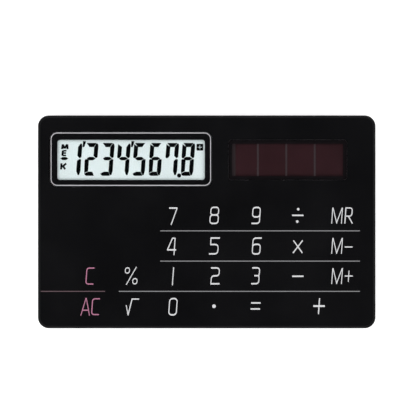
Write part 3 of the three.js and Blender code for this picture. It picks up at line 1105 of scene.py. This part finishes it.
SOLAR_SIGHT = millimetres(6.45, 11.6, 34.6, 19.8)
CELL_COUNT = 4
CELL_PITCH = 7.22 * MM
DIVIDER_WIDTH = 0.45 * MM
FIRST_DIVIDER = 13.0 * MM
SOLAR_SIGHT_CORNER = 0.25 * MM
STRIP_INSET = 0.4 * MM  # of the strips from the panel's edges
END_STRIP_RIGHT = 7.3 * MM
# Depths below the top of the CAD panel.
PANEL_DEPTH, STRIP_ROOT, STRIP_TOP = millimetres(0.03, 0.04, 0.02)


def make_solar_window():
    lens = bevelled_slab(
        "solar_lens", rectangle("solar_window"), SOLAR_CORNER, WINDOW_UNDER, FACE,
        WINDOW_BEVEL, SOLAR_CLEAR,
    )
    ink_edges(lens)
    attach(lens, "case")
    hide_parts("solar_window")
    print_border(
        "solar_border", "solar_window", SOLAR_CORNER, SOLAR_SIGHT, SOLAR_SIGHT_CORNER, SMOKED_BORDER
    )


def make_solar_cell():
    """A glass panel with silicon strips, grey dividers between them and a dark strip at its left end."""
    rect = rectangle("solar_cell")
    low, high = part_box("solar_cell")[0].z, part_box("solar_cell")[1].z
    panel_corner = 0.2 * MM
    panel = bevelled_slab(
        "solar_panel", rect, panel_corner, low, high - PANEL_DEPTH, GLASS_BEVEL, SILICON
    )
    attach(panel, "case")
    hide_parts("solar_cell")

    bm = bmesh.new()
    strip_low, strip_high = high - STRIP_ROOT, high - STRIP_TOP
    bottom, top = rect[1] + STRIP_INSET, rect[3] - STRIP_INSET
    for index in range(CELL_COUNT - 1):
        x = FIRST_DIVIDER + index * CELL_PITCH
        ends = [Vector((x, bottom)), Vector((x, top))]
        add_stroke(bm, ends, round_pen(DIVIDER_WIDTH), strip_low, strip_high)
    strips = link("solar_electrodes", bm, ELECTRODE)
    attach(strips, "case")

    end_rect = (rect[0] + STRIP_INSET, bottom, END_STRIP_RIGHT, top)
    end_corner, end_bevel = millimetres(0.1, 0.005)
    end_strip = bevelled_slab(
        "solar_end_strip", end_rect, end_corner, strip_low, strip_high, end_bevel, END_STRIP
    )
    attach(end_strip, "case")


# ---------------------------------------------------------------- inner pieces kept from the CAD


def inner_materials():
    """A finished material for each CAD node that stays as it is."""
    fine = 0.003 * MM
    plate = grained(
        "rolled_steel", (0.42, 0.42, 0.43), (0.52, 0.52, 0.53), 900, (0.25, 0.4), fine, 1.0,
        stretch=(0.06, 1, 1),
    )
    tape = grained("tape", (0.60, 0.56, 0.44), (0.70, 0.66, 0.54), 1500, (0.5, 0.7), fine)
    foam = grained("foam", (0.012, 0.012, 0.013), (0.030, 0.030, 0.032), 4500, (0.85, 1.0), 0.03 * MM)
    board = grained("solder_mask", (0.010, 0.080, 0.030), (0.016, 0.115, 0.045), 700, (0.3, 0.45), fine)
    epoxy = grained("epoxy", (0.004, 0.004, 0.004), (0.008, 0.008, 0.008), 800, (0.2, 0.4), fine)
    fired = grained("fired_ceramic", (0.20, 0.12, 0.05), (0.28, 0.17, 0.08), 2500, (0.5, 0.65), fine)
    foil = grained(
        "carbon_foil", (0.30, 0.16, 0.04), (0.42, 0.23, 0.07), 900, (0.35, 0.5), fine,
        stretch=(3, 0.1, 1),
    )
    copper = grained("tinned_copper", (0.62, 0.36, 0.24), (0.75, 0.48, 0.34), 1200, (0.25, 0.4), fine, 1.0)
    return {
        "front_plate": plate,
        "film_adhesive": tape,
        "display_foam_pad": foam,
        "display_gasket": foam,
        "solar_gasket": foam,
        "circuit_board": board,
        "chip_epoxy_cap": epoxy,
        "clamp_diode": epoxy,
        "pull_up_resistor": epoxy,
        "storage_capacitor": fired,
        "filter_capacitor": fired,
        "display_connector": foil,
        "solar_lead_positive": copper,
        "solar_lead_negative": copper,
    }


def dress_inner_pieces():
    for name, material in inner_materials().items():
        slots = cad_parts[name].data.materials
        slots.clear()
        slots.append(material)


# ---------------------------------------------------------------- floor, light and camera

FLOOR_GLOW = 0.3  # a light table, so that nothing throws a hard shadow
FLOOR_HALF_SIDE = 4.0
FLOOR_GAP = 0.01 * MM  # below the card
SKY_STRENGTH = 1.95
SKY_STOPS = ((0.40, 0.35), (0.60, 1.0), (0.86, 1.0), (0.96, 0.01))  # (height, level)
KEY_LIGHT_PLACE = (-0.50, -0.45, 0.70)
KEY_LIGHT_SIZE = 0.5
KEY_LIGHT_POWER = 2.2


def make_floor():
    bm = bmesh.new()
    bmesh.ops.create_grid(bm, x_segments=1, y_segments=1, size=FLOOR_HALF_SIDE)
    paper = grained("floor_paper", (0.93, 0.93, 0.93), (0.95, 0.95, 0.95), 60, (0.85, 0.95), 0.0)
    glow = next(item for item in paper.node_tree.nodes if item.type == "BSDF_PRINCIPLED")
    glow.inputs["Emission Color"].default_value = (1, 1, 1, 1)
    glow.inputs["Emission Strength"].default_value = FLOOR_GLOW
    floor = link("floor", bm, paper)
    floor.location.z = CASE_LOW.z - FLOOR_GAP


def make_world():
    """A bright band of sky, dark overhead where the face mirrors it and dim near the floor."""
    world = bpy.data.worlds.new("studio")
    world.use_nodes = True
    tree = world.node_tree
    coordinates = tree.nodes.new("ShaderNodeTexCoord")
    height = tree.nodes.new("ShaderNodeSeparateXYZ")
    background = next(item for item in tree.nodes if item.type == "BACKGROUND")
    background.inputs["Strength"].default_value = SKY_STRENGTH
    tree.links.new(coordinates.outputs["Generated"], height.inputs["Vector"])
    sky = tree.nodes.new("ShaderNodeValToRGB")
    stops = sky.color_ramp.elements
    for _ in SKY_STOPS[2:]:
        stops.new(0.5)
    for stop, (position, level) in zip(stops, SKY_STOPS):
        stop.position = position
        stop.color = (level, level, level, 1)
    tree.links.new(height.outputs["Z"], sky.inputs["Fac"])
    tree.links.new(sky.outputs["Color"], background.inputs["Color"])
    bpy.context.scene.world = world


def make_softbox(name, place, size, power):
    light = bpy.data.lights.new(name, "AREA")
    light.size = size
    light.energy = power
    lamp = bpy.data.objects.new(name, light)
    lamp.location = place
    lamp.rotation_euler = (-Vector(place)).to_track_quat("-Z", "Y").to_euler()
    bpy.context.scene.collection.objects.link(lamp)


def make_camera():
    """Straight above the card, from far enough to look along nearly parallel lines."""
    view_width = 101.45 * MM
    centre_x, centre_y = -1.70 * MM, 5.54 * MM
    data = bpy.data.cameras.new("camera")
    data.lens = 180
    data.clip_start = 0.01
    camera = bpy.data.objects.new("camera", data)
    distance = view_width * data.lens / data.sensor_width
    camera.location = (centre_x, centre_y, FACE + distance)
    bpy.context.scene.collection.objects.link(camera)
    bpy.context.scene.camera = camera


# ---------------------------------------------------------------- the whole scene

make_side_frame()
make_rear_cover()
make_screws()
make_film()
for key in KEY_NODES:
    make_key_face(key)
    make_keycap(key)
    make_dome(key)
    make_legend(key)
make_dome_sheet()
make_row_lines()
make_display_window()
make_display_stack()
make_display_figures()
make_solar_window()
make_solar_cell()
dress_inner_pieces()

make_floor()
make_world()
make_softbox("key_light", KEY_LIGHT_PLACE, KEY_LIGHT_SIZE, KEY_LIGHT_POWER)
make_camera()
bpy.context.scene.view_settings.view_transform = "Standard"
